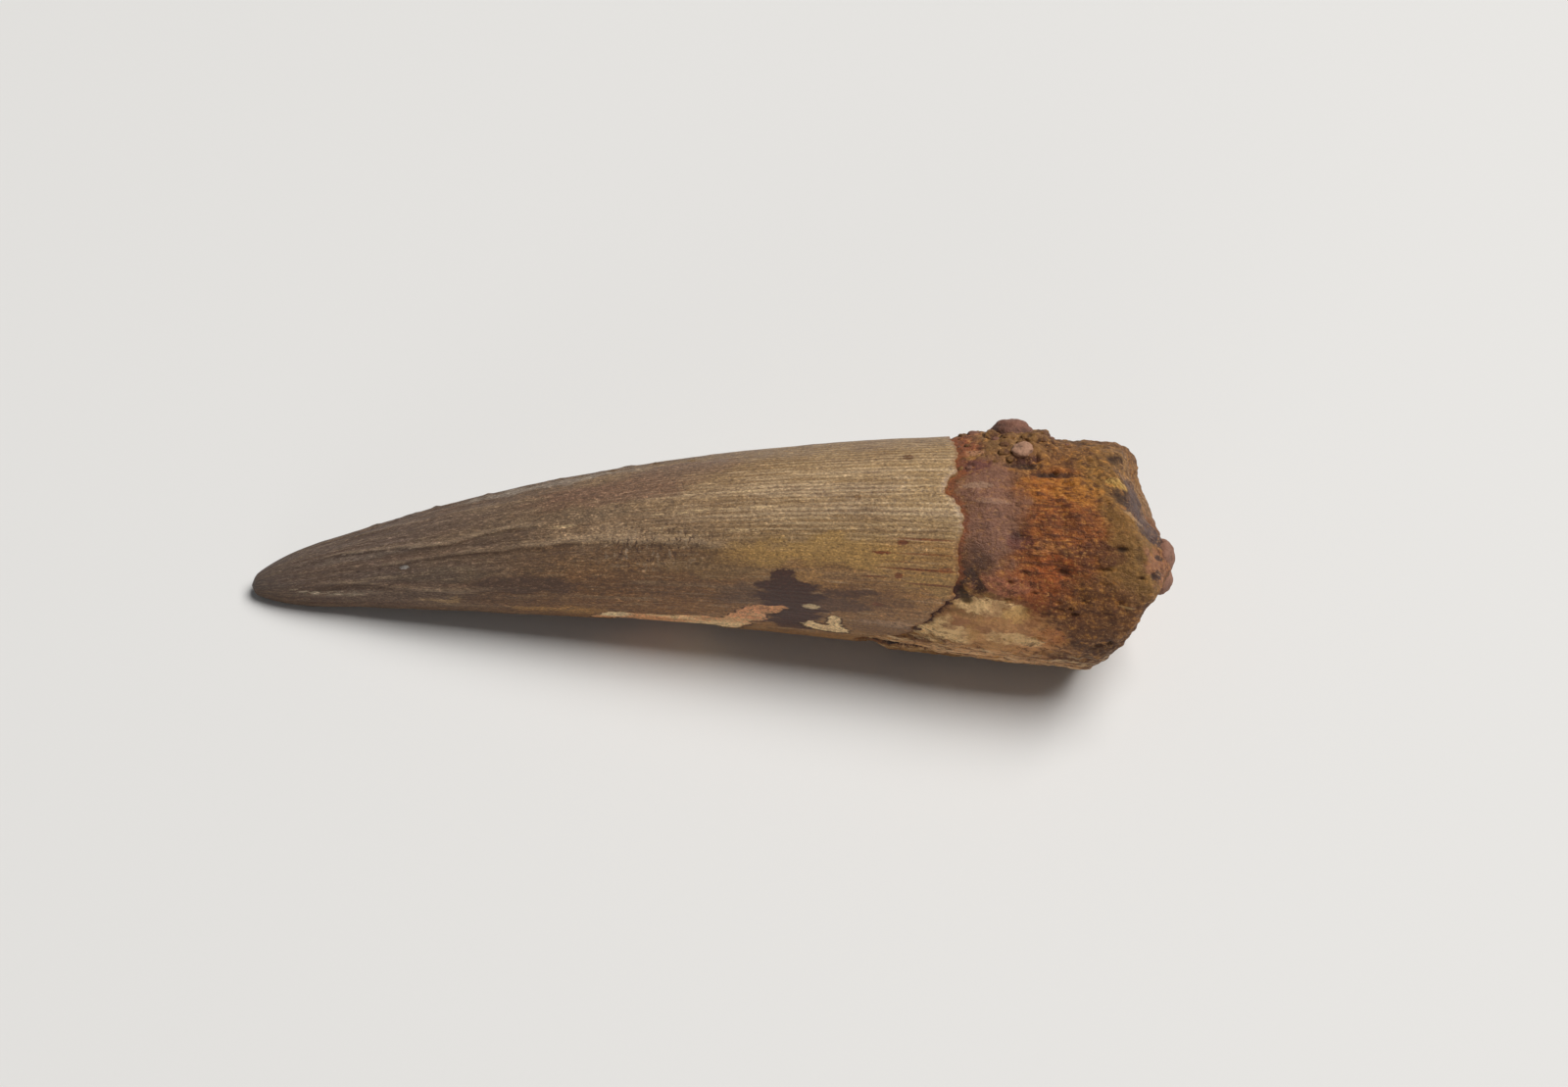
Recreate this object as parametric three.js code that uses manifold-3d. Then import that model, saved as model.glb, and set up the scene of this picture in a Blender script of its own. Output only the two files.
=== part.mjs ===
// A fossil dinosaur tooth as one solid: the crown, the stub of its root and the matrix stuck to it.
// Millimetres. +X runs from the tip to the broken root, +Z is up, and the tooth lies on Z = 0.

import * as THREE from 'three';
import { mergeVertices } from 'three/addons/utils/BufferGeometryUtils.js';
import { ImprovedNoise } from 'three/addons/math/ImprovedNoise.js';
import Module from 'manifold-3d';

const wasm = await Module();
wasm.setup();
const grain = new ImprovedNoise();
const { smoothstep, mapLinear, lerp, degToRad, radToDeg } = THREE.MathUtils;

// Driving dimensions of the tooth.
const LENGTH = 80; // from the tip to the furthest point of the break
const FULL_RADIUS = 10; // from the middle to the back edge, where the tooth is thickest
const FULL_AT = 72; // how far from the tip it is that thick
const TAPER_POWER = 0.575; // under 1: the sides bow outwards and the tip is blunt
const TIP_FULLNESS = 0.36; // how much fuller the worn tip is than that taper
const SIDE_SHARE = 0.94; // thickness from side to side, as a share of that from back to front
const ROLL = degToRad(52); // the back edge is rolled this far away from upright
const ENAMEL = 0.3; // height of the ledge where the enamel ends on the root

// The middle line, as the three control points of one gentle bend.
// Its ends sink a little into the floor, where the tooth has its worn flats.
const MIDDLE_LINE = new THREE.QuadraticBezierCurve3(
  new THREE.Vector3(0, -0.22, 0.86),
  new THREE.Vector3(LENGTH / 2, 1.2, 10.36),
  new THREE.Vector3(LENGTH, -3.78, 8.5),
);

// Across the tooth: "back" points to its convex edge and "side" to the side that faces up.
const BACK = new THREE.Vector3(0, Math.sin(ROLL), Math.cos(ROLL));
const SIDE = new THREE.Vector3(0, -Math.cos(ROLL), Math.sin(ROLL));

// A point given by its distance from the tip and its distances from the middle line.
function place(x, back, side) {
  const point = MIDDLE_LINE.getPoint(x / LENGTH);
  return point.addScaledVector(BACK, back).addScaledVector(SIDE, side);
}

function radiusAt(x) {
  const fuller = TIP_FULLNESS * smoothstep(x, 0, 0.5) * (1 - smoothstep(x, 2, 11));
  return FULL_RADIUS * Math.min(1, x / FULL_AT) ** TAPER_POWER + fuller;
}

// The jagged end of the enamel: angle from the back edge in degrees, distance from the tip.
const ENAMEL_EDGE = [
  [0, 60.8], [22, 61.6], [42, 61.4], [58, 59.9], [70, 61.9], [98, 61.5], [116, 60.6],
  [128, 58.4], [146, 56.6], [165, 54.8], [190, 57.5], [222, 59.6], [250, 58.4], [285, 61.0],
  [310, 59.2], [338, 61.6], [360, 60.8],
];
const EDGE_MEAN = 60;

function enamelEdge(angle) {
  const degrees = radToDeg(angle);
  const after = Math.max(1, ENAMEL_EDGE.findIndex(([at]) => at >= degrees));
  const [startAngle, start] = ENAMEL_EDGE[after - 1];
  const [endAngle, end] = ENAMEL_EDGE[after];
  return mapLinear(degrees, startAngle, endAngle, start, end);
}

// The crown's lengthwise relief: close ridges, broad waves near the tip, a keel at back and front.
const COLUMNS = 96;
const RIDGES = COLUMNS / 2;
const RIDGE_HEIGHT = 0.055;
const WAVES = 9;
const WAVE_HEIGHT = 0.1;
const WAVE_TWIST = 0.03;
const WAVES_END = 45;
const KEEL_HEIGHT = 0.2;
const KEEL_SHARPNESS = 60;
const SMOOTH_TIP = 6;

function crownRelief(x, angle) {
  const awayFromTip = smoothstep(x, SMOOTH_TIP, WAVES_END);
  const ridges = RIDGE_HEIGHT * Math.cos(RIDGES * angle) * awayFromTip;
  const waves = WAVE_HEIGHT * Math.cos(WAVES * angle + WAVE_TWIST * x) * (1 - awayFromTip);
  const keel = KEEL_HEIGHT * Math.abs(Math.cos(angle)) ** KEEL_SHARPNESS;
  return (ridges + waves + keel) * smoothstep(x, 0, SMOOTH_TIP);
}

// The root starts below the enamel's ledge and rises into a lumpy crust, which thins to the break.
const CREVICE_WIDTH = 2.5;
const LUMP_SIZE = 3.2;
const LUMP_HEIGHT = 0.5;
const CRUST = 0.15;
const CRUST_THICKEST = 67;
const CRUST_REACH = 8;
const FRONT_WEAR = 0.35; // how far the front edge of the stub is worn back by the break

function rootRelief(x, angle, edge) {
  const around = radiusAt(x) / LUMP_SIZE;
  const lumps = grain.noise(x / LUMP_SIZE, Math.cos(angle) * around, Math.sin(angle) * around);
  const crust = CRUST * (1 - ((x - CRUST_THICKEST) / CRUST_REACH) ** 2);
  const worn = FRONT_WEAR * Math.max(0, -Math.cos(angle)) * smoothstep(x, 65, 73);
  const rise = smoothstep(x, edge, edge + CREVICE_WIDTH);
  return lerp(-ENAMEL, crust + LUMP_HEIGHT * lumps, rise) - worn;
}

// The break is a few rough faces: how far out each one is on the middle line, and how much it
// falls away per millimetre towards the back and towards the side.
const BREAK_FACES = [
  { out: 80.2, back: 0.42, side: 0.3 },
  { out: 79.1, back: -0.54, side: -0.06 },
  { out: 81.6, back: 0.05, side: 0.42 },
  { out: 80.8, back: 0.1, side: -0.45 },
];
const BREAK_GRAIN = 2.1;
const BREAK_ROUGHNESS = 0.6;

function breakAt(back, side) {
  const faces = BREAK_FACES.map((face) => face.out - face.back * back - face.side * side);
  const rough = BREAK_ROUGHNESS * grain.noise(back / BREAK_GRAIN, side / BREAK_GRAIN, LENGTH);
  return Math.min(...faces) + rough;
}

// The tooth is turned as a lathe form, then bent and worked along its length.
const CROWN_RINGS = 19;
const TIP_CROWDING = 1.8;
const LEDGE_RUN = 0.3;
const ROOT_RINGS = 11;
const BREAK_RINGS = 7;

function latheProfile() {
  const profile = [];
  for (let ring = 0; ring <= CROWN_RINGS; ring += 1) {
    const x = EDGE_MEAN * (ring / CROWN_RINGS) ** TIP_CROWDING;
    profile.push(new THREE.Vector2(radiusAt(x), x));
  }
  for (let ring = 0; ring <= ROOT_RINGS; ring += 1) {
    const x = lerp(EDGE_MEAN + LEDGE_RUN, LENGTH, ring / ROOT_RINGS);
    profile.push(new THREE.Vector2(radiusAt(x), x));
  }
  for (let ring = 1; ring <= BREAK_RINGS; ring += 1) {
    profile.push(new THREE.Vector2(FULL_RADIUS * (1 - ring / BREAK_RINGS), LENGTH));
  }
  return profile;
}

// Where the outer surface of the root meets the break, at one angle.
function rimAt(angle) {
  const radius = FULL_RADIUS;
  return breakAt(radius * Math.cos(angle), radius * SIDE_SHARE * Math.sin(angle));
}

function worked(drawnX, drawnRadius, angle) {
  const edge = enamelEdge(angle);
  let x;
  let radius;
  if (drawnX <= EDGE_MEAN) {
    x = drawnX + (edge - EDGE_MEAN) * (drawnX / EDGE_MEAN) ** 4;
    radius = drawnRadius > 0 ? radiusAt(x) + crownRelief(x, angle) : 0;
  } else {
    x = mapLinear(drawnX, EDGE_MEAN, LENGTH, edge, rimAt(angle));
    radius = (radiusAt(x) + rootRelief(x, angle, edge)) * (drawnRadius / radiusAt(drawnX));
  }
  const back = radius * Math.cos(angle);
  const side = radius * SIDE_SHARE * Math.sin(angle);
  const onBreak = drawnX === LENGTH && drawnRadius < FULL_RADIUS;
  return place(onBreak ? breakAt(back, side) : x, back, side);
}

function wholeTooth() {
  const geometry = new THREE.LatheGeometry(latheProfile(), COLUMNS);
  const position = geometry.attributes.position;
  const columnTurn = (2 * Math.PI) / COLUMNS;
  for (let i = 0; i < position.count; i += 1) {
    const turn = Math.atan2(position.getX(i), position.getZ(i));
    const column = (Math.round(turn / columnTurn) + COLUMNS) % COLUMNS;
    const drawnRadius = Math.hypot(position.getX(i), position.getZ(i));
    const point = worked(position.getY(i), drawnRadius, column * columnTurn);
    position.setXYZ(i, point.x, point.y, point.z);
  }
  return solidOf(geometry);
}

// A closed three.js geometry as a solid that can be joined and cut.
function solidOf(geometry) {
  geometry.deleteAttribute('normal');
  geometry.deleteAttribute('uv');
  const merged = mergeVertices(geometry);
  return new wasm.Manifold(new wasm.Mesh({
    numProp: 3,
    vertProperties: new Float32Array(merged.attributes.position.array),
    triVerts: new Uint32Array(merged.index.array),
  }));
}

// Rounded lumps of matrix: distance from the tip, angle from the back edge, share of the way out
// from the middle line, and half sizes along, around and outwards.
const LUMPS = [
  { x: 66.2, angle: 6, share: 1, half: [4.4, 3.8, 0.6] },
  { x: 66.7, angle: 2, share: 1, half: [1.85, 1.7, 1.7] },
  { x: 69.2, angle: 6, share: 1, half: [1.0, 1.1, 0.65] },
  { x: 63.2, angle: 5, share: 1, half: [1.4, 1.0, 0.75] },
  { x: 66.8, angle: 27, share: 1, half: [1.05, 0.7, 0.7] },
  { x: 64.6, angle: 340, share: 1, half: [1.2, 1.5, 0.8] },
  { x: 70.5, angle: 318, share: 1, half: [1.5, 1.3, 0.9] },
  { x: 66.5, angle: 285, share: 1, half: [1.1, 1.4, 0.7] },
  { x: 79.2, angle: 70, share: 0.22, half: [1.2, 1.5, 1.3] },
  { x: 78.8, angle: 130, share: 0.26, half: [1.1, 1.0, 1.2] },
];
const LUMP_DETAIL = 2;
const LUMP_ROUGHNESS = 0.14;

function lump({ x, angle, share, half }) {
  const [along, around, outwards] = half;
  const turn = degToRad(angle);
  const outDirection = new THREE.Vector3()
    .addScaledVector(BACK, Math.cos(turn))
    .addScaledVector(SIDE, Math.sin(turn));
  const aroundDirection = outDirection.clone().cross(new THREE.Vector3(1, 0, 0));
  const reach = radiusAt(x) * share;
  const seat = place(x, reach * Math.cos(turn), reach * SIDE_SHARE * Math.sin(turn));
  const geometry = new THREE.IcosahedronGeometry(1, LUMP_DETAIL);
  const position = geometry.attributes.position;
  const ball = new THREE.Vector3();
  for (let i = 0; i < position.count; i += 1) {
    ball.fromBufferAttribute(position, i);
    const rough = 1 + LUMP_ROUGHNESS * grain.noise(ball.x + x, ball.y + angle, ball.z);
    const point = seat.clone();
    point.x += ball.x * along * rough;
    point.addScaledVector(aroundDirection, ball.y * around * rough);
    point.addScaledVector(outDirection, ball.z * outwards * rough);
    position.setXYZ(i, point.x, point.y, point.z);
  }
  return solidOf(geometry);
}

// The block that everything rests on, cut away from the tooth to leave its flats.
const FLOOR_BLOCK = 120;

function floorBlock() {
  const block = new THREE.BoxGeometry(FLOOR_BLOCK, FLOOR_BLOCK, FLOOR_BLOCK);
  return solidOf(block.translate(LENGTH / 2, 0, -FLOOR_BLOCK / 2));
}

function toothMesh() {
  let solid = wholeTooth();
  for (const piece of LUMPS) {
    solid = solid.add(lump(piece));
  }
  const { vertProperties, triVerts } = solid.subtract(floorBlock()).getMesh();
  const geometry = new THREE.BufferGeometry();
  geometry.setAttribute('position', new THREE.BufferAttribute(vertProperties, 3));
  geometry.setIndex(new THREE.BufferAttribute(triVerts, 1));
  const fossil = new THREE.MeshStandardMaterial({ color: 0x8a6c48, roughness: 0.5, metalness: 0 });
  const mesh = new THREE.Mesh(geometry, fossil);
  mesh.name = 'tooth';
  return mesh;
}

// The group puts the middle of the tooth's underside at the origin.
const group = new THREE.Group();
group.add(toothMesh());
const box = new THREE.Box3().setFromObject(group);
group.position.set(-(box.min.x + box.max.x) / 2, -(box.min.y + box.max.y) / 2, -box.min.z);

export default group;
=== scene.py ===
# A fossil dinosaur tooth lying on its side: enamelled crown, broken root and the matrix stuck to it.
# Its shape is worked out in millimetres, and turned into metres as each mesh is finished.
import itertools
import math
import random

import bmesh
import bpy
import numpy as np
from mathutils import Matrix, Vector


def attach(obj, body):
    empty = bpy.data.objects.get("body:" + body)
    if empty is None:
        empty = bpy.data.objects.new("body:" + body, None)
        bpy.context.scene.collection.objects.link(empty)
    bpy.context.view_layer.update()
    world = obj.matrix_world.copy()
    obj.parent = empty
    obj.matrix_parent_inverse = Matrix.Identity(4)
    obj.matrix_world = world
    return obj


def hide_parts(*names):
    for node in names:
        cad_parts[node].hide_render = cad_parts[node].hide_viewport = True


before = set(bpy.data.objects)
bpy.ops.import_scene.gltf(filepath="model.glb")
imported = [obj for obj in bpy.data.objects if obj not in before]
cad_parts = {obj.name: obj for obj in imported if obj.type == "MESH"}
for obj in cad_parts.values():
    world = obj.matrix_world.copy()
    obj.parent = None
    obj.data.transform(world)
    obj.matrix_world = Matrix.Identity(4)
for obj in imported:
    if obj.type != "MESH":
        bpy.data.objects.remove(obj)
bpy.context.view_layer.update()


# ---- Table, light and camera ----
# The tooth lies on a plain white sheet under one wide soft light, which hangs over it and behind
# it. A weak low light in front opens the shade on its lower side a little, in a dim room.

MM = 0.001
VIEW_HEIGHT = math.radians(52)
LENS = 60
SENSOR = 36
VIEW_DISTANCE = 224.5 * MM
NEAREST_SEEN = 10 * MM
VIEW_CENTRE = Vector((7.12, 0.375, 9.4)) * MM

towards_camera = Vector((0, -math.cos(VIEW_HEIGHT), math.sin(VIEW_HEIGHT)))
camera_data = bpy.data.cameras.new("camera")
camera_data.lens = LENS
camera_data.sensor_width = SENSOR
camera_data.clip_start = NEAREST_SEEN
camera = bpy.data.objects.new("camera", camera_data)
camera.location = VIEW_CENTRE + towards_camera * VIEW_DISTANCE
camera.rotation_euler = towards_camera.to_track_quat("Z", "Y").to_euler()
bpy.context.collection.objects.link(camera)
bpy.context.scene.camera = camera
bpy.context.scene.view_settings.view_transform = "Standard"

LAMP_WARMTH = (1.0, 0.985, 0.96)
# Name, place, what it points at, width and height in metres, and power in watts.
LAMPS = [
    ("soft_light", (1.25, 0.52, 2.5), (-2.2, 0, 0), (1.8, 1.7), 98),
    ("low_fill", (-0.3, -1.6, 0.36), (0, 0, 0), (1.2, 0.35), 2.8),
]
for name, lamp_place, aim, size, power in LAMPS:
    lamp_data = bpy.data.lights.new(name, "AREA")
    lamp_data.shape = "RECTANGLE"
    lamp_data.size, lamp_data.size_y = size
    lamp_data.energy = power
    lamp_data.color = LAMP_WARMTH
    lamp = bpy.data.objects.new(name, lamp_data)
    lamp.location = lamp_place
    lamp.rotation_euler = (Vector(lamp_place) - Vector(aim)).to_track_quat("Z", "Y").to_euler()
    bpy.context.collection.objects.link(lamp)

ROOM_LIGHT = (0.93, 0.96, 1.0)
ROOM_STRENGTH = 0.088
room = bpy.data.worlds.new("room")
room.use_nodes = True
background = room.node_tree.nodes["Background"]
background.inputs["Color"].default_value = (*ROOM_LIGHT, 1)
background.inputs["Strength"].default_value = ROOM_STRENGTH
bpy.context.scene.world = room

SHEET_SIZE = 3.0
SHEET_WHITE = (0.8, 0.795, 0.785, 1)
SHEET_ROUGHNESS = 0.7
sheet_form = bmesh.new()
bmesh.ops.create_grid(sheet_form, x_segments=1, y_segments=1, size=SHEET_SIZE / 2)
sheet_mesh = bpy.data.meshes.new("white_sheet")
sheet_form.to_mesh(sheet_mesh)
sheet_form.free()
sheet = bpy.data.objects.new("white_sheet", sheet_mesh)
bpy.context.collection.objects.link(sheet)
sheet_paper = bpy.data.materials.new("white_sheet")
sheet_paper.use_nodes = True
paper_surface = sheet_paper.node_tree.nodes["Principled BSDF"]
paper_surface.inputs["Base Color"].default_value = SHEET_WHITE
paper_surface.inputs["Roughness"].default_value = SHEET_ROUGHNESS
sheet_mesh.materials.append(sheet_paper)


# ---- Crown ----
# The crown is a long blunt cone of dentine in a thin skin of enamel, which grew with fine ridges
# along it and a low keel at back and front. The tip is worn smooth, and some enamel has flaked.

LENGTH = 80.0
FULL_RADIUS = 10.0
FULL_AT = 72.0
TAPER_POWER = 0.575
TIP_FULLNESS = 0.36
FULLER_STRETCH = (0, 0.5, 2, 11)
SIDE_SHARE = 0.94
ROLL = math.radians(52)
BACK = np.array([0, math.sin(ROLL), math.cos(ROLL)])
SIDE = np.array([0, -math.cos(ROLL), math.sin(ROLL)])

# The middle line is one gentle bend through the tip and these two control points, seen from it.
BEND_MIDDLE = (LENGTH / 2, 1.42, 9.5)
BEND_END = (LENGTH, -3.56, 7.64)
tip = np.array(min((v.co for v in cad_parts["tooth"].data.vertices), key=lambda co: co.x)) / MM
BEND = (tip, tip + BEND_MIDDLE, tip + BEND_END)


def middle(x):
    t = (x / LENGTH)[:, None]
    return (1 - t) ** 2 * BEND[0] + 2 * t * (1 - t) * BEND[1] + t**2 * BEND[2]


def place(x, back, side):
    """Points in the frame, from distances to the tip and to the middle line. Low ones rest flat."""
    points = middle(x) + back[:, None] * BACK + side[:, None] * SIDE
    points[:, 2] = np.maximum(points[:, 2], 0)
    return points


def smoothstep(x, low, high):
    t = np.clip((x - low) / (high - low), 0, 1)
    return t * t * (3 - 2 * t)


def band(x, start, full, fading, end):
    """1 inside a stretch and 0 outside it, smooth between them."""
    return smoothstep(x, start, full) * (1 - smoothstep(x, fading, end))


def radius_at(x):
    taper = FULL_RADIUS * np.minimum(1, np.maximum(x, 0) / FULL_AT) ** TAPER_POWER
    return taper + TIP_FULLNESS * band(x, *FULLER_STRETCH)


DRAWS = 256
CHANCE = np.random.default_rng(16)
SHUFFLE = CHANCE.permutation(DRAWS)
SLOPES = CHANCE.normal(size=(DRAWS, 3))
SLOPES /= np.linalg.norm(SLOPES, axis=1)[:, None]
POINTS = CHANCE.random((DRAWS, 3))


def draw(cells):
    """A random whole number that is always the same for the same cell of space."""
    drawn = SHUFFLE[cells[:, 0] % DRAWS]
    drawn = SHUFFLE[(drawn + cells[:, 1]) % DRAWS]
    return SHUFFLE[(drawn + cells[:, 2]) % DRAWS]


HEIGHT_SCALE = 1.5


def rough(points, size, seed):
    """Smooth random heights from about -1 to 1, with lumps of the given size."""
    spots = points / size + seed
    cells = np.floor(spots).astype(int)
    inside = spots - cells
    fade = inside**3 * (inside * (inside * 6 - 15) + 10)
    height = np.zeros(len(points))
    for corner in itertools.product((0, 1), repeat=3):
        weight = np.where(corner, fade, 1 - fade).prod(axis=1)
        height += weight * (SLOPES[draw(cells + corner)] * (inside - corner)).sum(axis=1)
    return HEIGHT_SCALE * height


def grains(points, size):
    """Rounded grains of sand, from -1 between them to 1 on top of them."""
    spots = points / size
    cells = np.floor(spots).astype(int)
    nearest = np.full(len(points), np.inf)
    for step in itertools.product((-1, 0, 1), repeat=3):
        near = cells + step
        nearest = np.minimum(nearest, np.linalg.norm(near + POINTS[draw(near)] - spots, axis=1))
    return 1 - 2 * np.minimum(nearest, 1) ** 1.5


WRAP_RADIUS = 9


def wrapped(x, angle):
    """A place on the skin as a place on an even cylinder, so that patterns run along the tooth."""
    return np.stack([x, WRAP_RADIUS * np.cos(angle), WRAP_RADIUS * np.sin(angle)], axis=1)


def skin_rough(x, angle, layers):
    """Roughness of the skin in several layers. Each has a height, the size of its lumps around the
    tooth, how many times longer they are along it, and a seed."""
    heights = np.zeros_like(x)
    for height, size, longer, seed in layers:
        heights += height * rough(wrapped(x / longer, angle), size, seed)
    return heights


def features(x, angle, shapes):
    """Listed rises and hollows. Each has its place as mm from the tip and degrees from the back
    edge, its half sizes along and around, and its height."""
    height = np.zeros_like(x)
    for centre, degrees, half_along, half_around, rise in shapes:
        turn = (angle - math.radians(degrees) + math.pi) % (2 * math.pi) - math.pi
        reach = ((x - centre) / half_along) ** 2 + (turn * radius_at(x) / half_around) ** 2
        height += rise * np.exp(-(reach**1.5))
    return height


# The jagged end of the enamel: degrees from the back edge, mm from the tip.
ENAMEL_EDGE = [
    (0, 61.4),
    (32, 61.8),
    (48, 61.6),
    (61, 60.6),
    (70, 62.2),
    (88, 62.0),
    (104, 61.6),
    (118, 61.2),
    (130, 59.6),
    (146, 58.2),
    (154, 57.0),
    (160, 54.6),
    (170, 53.6),
    (184, 53.9),
    (196, 57.0),
    (222, 60.2),
    (250, 58.8),
    (285, 61.4),
    (310, 59.6),
    (338, 61.9),
    (360, 61.4),
]
EDGE_MEAN = 60.0
EDGE_ROUGH = [(0.35, 1.2, 1, 3.7), (0.175, 0.4, 1, 8.1), (0.07, 0.15, 1, 5.2)]
CHIPPED_OUT = [(0.42, 1.1, 1, 2.6)]
CHIPPED_BACK = [(0.315, 0.5, 1, 7.9)]
CHIPPED_ANGLES = (1.9, 2.1, 2.8, 3.1)


def enamel_edge(angle):
    """How far from the tip the enamel ends. It is chipped most on its lower side."""
    start = np.zeros_like(angle)
    chipped = np.abs(skin_rough(start, angle, CHIPPED_OUT))
    chipped -= np.abs(skin_rough(start, angle, CHIPPED_BACK))
    ragged = skin_rough(start, angle, EDGE_ROUGH) + band(angle, *CHIPPED_ANGLES) * chipped
    return np.interp(np.degrees(angle), *np.transpose(ENAMEL_EDGE)) + ragged


RIDGES = 126
RIDGE_HEIGHT = 0.014
RIDGE_WANDER = [(3.0, 3.0, 10, 1.3), (1.5, 1.1, 2.5, 6.3)]
RIDGE_STRENGTH = 0.55
RIDGE_UNEVEN = [(0.8, 1.8, 4, 5.5), (0.7, 0.7, 2, 4.6)]
STRONGEST_RIDGE = 1.2
RIDGES_AT_TIP = 0.15
RIDGES_FULL_AT = 45
SMOOTH_TIP = 6.0
WAVE_HEIGHT = 0.09
WAVES = [(2, 2.3, 6.25, 9.2)]
WAVE_TWIST = 0.006
WAVE_CREST = 0.4
KEEL_HEIGHT = 0.2
KEEL_SHARPNESS = 60
DENTS = [(0.05, 2.6, 1, 2.2), (0.015, 0.9, 1, 3.3)]

# Low steps that run along the crown: the degrees that each is at, at some distances from the tip,
# the stretch that it fades in and out over, and how deep it is.
TERRACES = [
    ([8, 14, 17, 21, 24, 29, 34, 40], [63, 72, 77, 73, 69, 71, 66, 66], (5, 10, 24, 28), 0.09),
    ([12, 17, 22, 26, 30, 36, 42, 47], [93, 90, 88, 88, 87, 91, 95, 96], (10, 15, 40, 44), 0.09),
    ([8, 10, 12, 15, 19, 24, 30], [112, 116, 119, 128, 134, 128, 124], (5, 10, 20, 24), 0.06),
    ([9, 14, 20], [28, 34, 40], (5, 10, 13, 17), 0.05),
]
TERRACE_WANDER = [(2.5, 1.7, 1, 7.1)]
TERRACE_LIP = -2.2
TERRACE_LIP_WIDTH = 2.8
TERRACE_TROUGH = (-0.8, 1.8, 2.5, 24)

# Chips and dents at given places, then specks of rock stuck along the back edge.
CROWN_CHIPS = [
    (14.4, 97, 0.5, 0.3, -0.04),
    (10.2, 96, 0.2, 0.16, -0.1),
    (12.2, 96, 0.2, 0.16, -0.08),
    (57.6, 36, 0.5, 0.16, -0.06),
    (53.4, 64, 0.3, 0.25, -0.06),
    (56.0, 91, 1.2, 0.12, -0.07),
    (58.4, 88, 0.6, 0.15, -0.07),
    (57.3, 105, 0.5, 0.2, -0.06),
    (60.6, 92, 0.8, 0.12, -0.06),
    (53.7, 121, 0.8, 0.25, -0.05),
]
BACK_SPECK_COUNT = 34
specks = random.Random(31)
BACK_SPECKS = [
    (
        specks.uniform(10, 44),
        specks.gauss(4, 5),
        specks.uniform(0.12, 0.3),
        specks.uniform(0.1, 0.2),
        specks.uniform(0.05, 0.12),
    )
    for _ in range(BACK_SPECK_COUNT)
]


def crown_ridges(x, angle):
    """The fine ridges, from 0 in the grooves to 1 on the crests. They wander, fork and run out."""
    return 0.5 + 0.5 * np.cos(RIDGES * angle + skin_rough(x, angle, RIDGE_WANDER))


def terraces(x, angle):
    """Low steps along the crown, each with a raised lip over it and a hollow under it."""
    steps = np.zeros_like(x)
    degrees = np.degrees(angle) + skin_rough(x, angle, TERRACE_WANDER)
    for places, line, stretch, drop in TERRACES:
        below = degrees - np.interp(x, places, line)
        lip = np.exp(-(((below - TERRACE_LIP) / TERRACE_LIP_WIDTH) ** 2))
        steps += drop * (lip - band(below, *TERRACE_TROUGH)) * band(x, *stretch)
    return steps


def crown_relief(x, angle, ridges, steps, waves):
    """How far the crown's skin stands out from its cone."""
    worn_ridges = RIDGES_AT_TIP + (1 - RIDGES_AT_TIP) * smoothstep(x, SMOOTH_TIP, RIDGES_FULL_AT)
    strong = np.clip(RIDGE_STRENGTH + skin_rough(x, angle, RIDGE_UNEVEN), 0, STRONGEST_RIDGE)
    fine = RIDGE_HEIGHT * (2 * ridges - 1) * strong * worn_ridges
    keel = KEEL_HEIGHT * np.abs(np.cos(angle)) ** KEEL_SHARPNESS
    chips = features(x, angle, CROWN_CHIPS + BACK_SPECKS)
    relief = fine + waves + keel + skin_rough(x, angle, DENTS) + steps + chips
    return relief * smoothstep(x, 0, SMOOTH_TIP)


def broad_waves(x, angle):
    """Low waves along the tip, which fade out where the ridges are strong."""
    crests = WAVE_CREST - np.abs(skin_rough(x, angle + WAVE_TWIST * x, WAVES))
    return WAVE_HEIGHT * crests * (1 - smoothstep(x, SMOOTH_TIP, RIDGES_FULL_AT))


# The strip starts in a point. Its two sides then turn away by some degrees each, over a stretch.
STRIP_POINT = 178
STRIP_TOP = [(-20, 30, 32.5), (-2, 35, 40), (-20, 41.5, 45)]
STRIP_BOTTOM = [(21, 30.4, 37)]
STRIP_BEGINS = (26.9, 27.4)
STRIP_ENDS = (45.6, 46.1)
STRIP_SLANT = 0.12
STRIP_SLANT_FROM = 150
STRIP_SIDES_ROUGH = [(3.5, 1.6, 1, 4.4), (2, 0.6, 1, 2.8)]
STRIP_ENDS_ROUGH = [(1.2, 1.5, 1, 6.6)]
STRIP_DEPTH = 0.16
STRIP_EDGE = 0.8
STRIP_LOWER_EDGE = 2
SMALL_FLAKES = [
    (49.6, 154, 0.9, 0.9, 1),
    (50.8, 158, 0.9, 0.8, 1),
    (51.5, 147, 0.7, 1.1, 1),
    (52.2, 158, 0.8, 0.7, 1),
    (45.4, 141, 1.0, 0.7, 1),
]
FLAKES_ROUGH = [(0.45, 0.8, 1, 5.1), (0.3, 0.3, 1, 3.8)]
FLAKE_EDGE = (0.5, 0.62)
FLAKE_REACH = (0.02, 0.15)


def drifting(x, start, turns):
    return start + sum(turn * smoothstep(x, low, high) for turn, low, high in turns)


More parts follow.
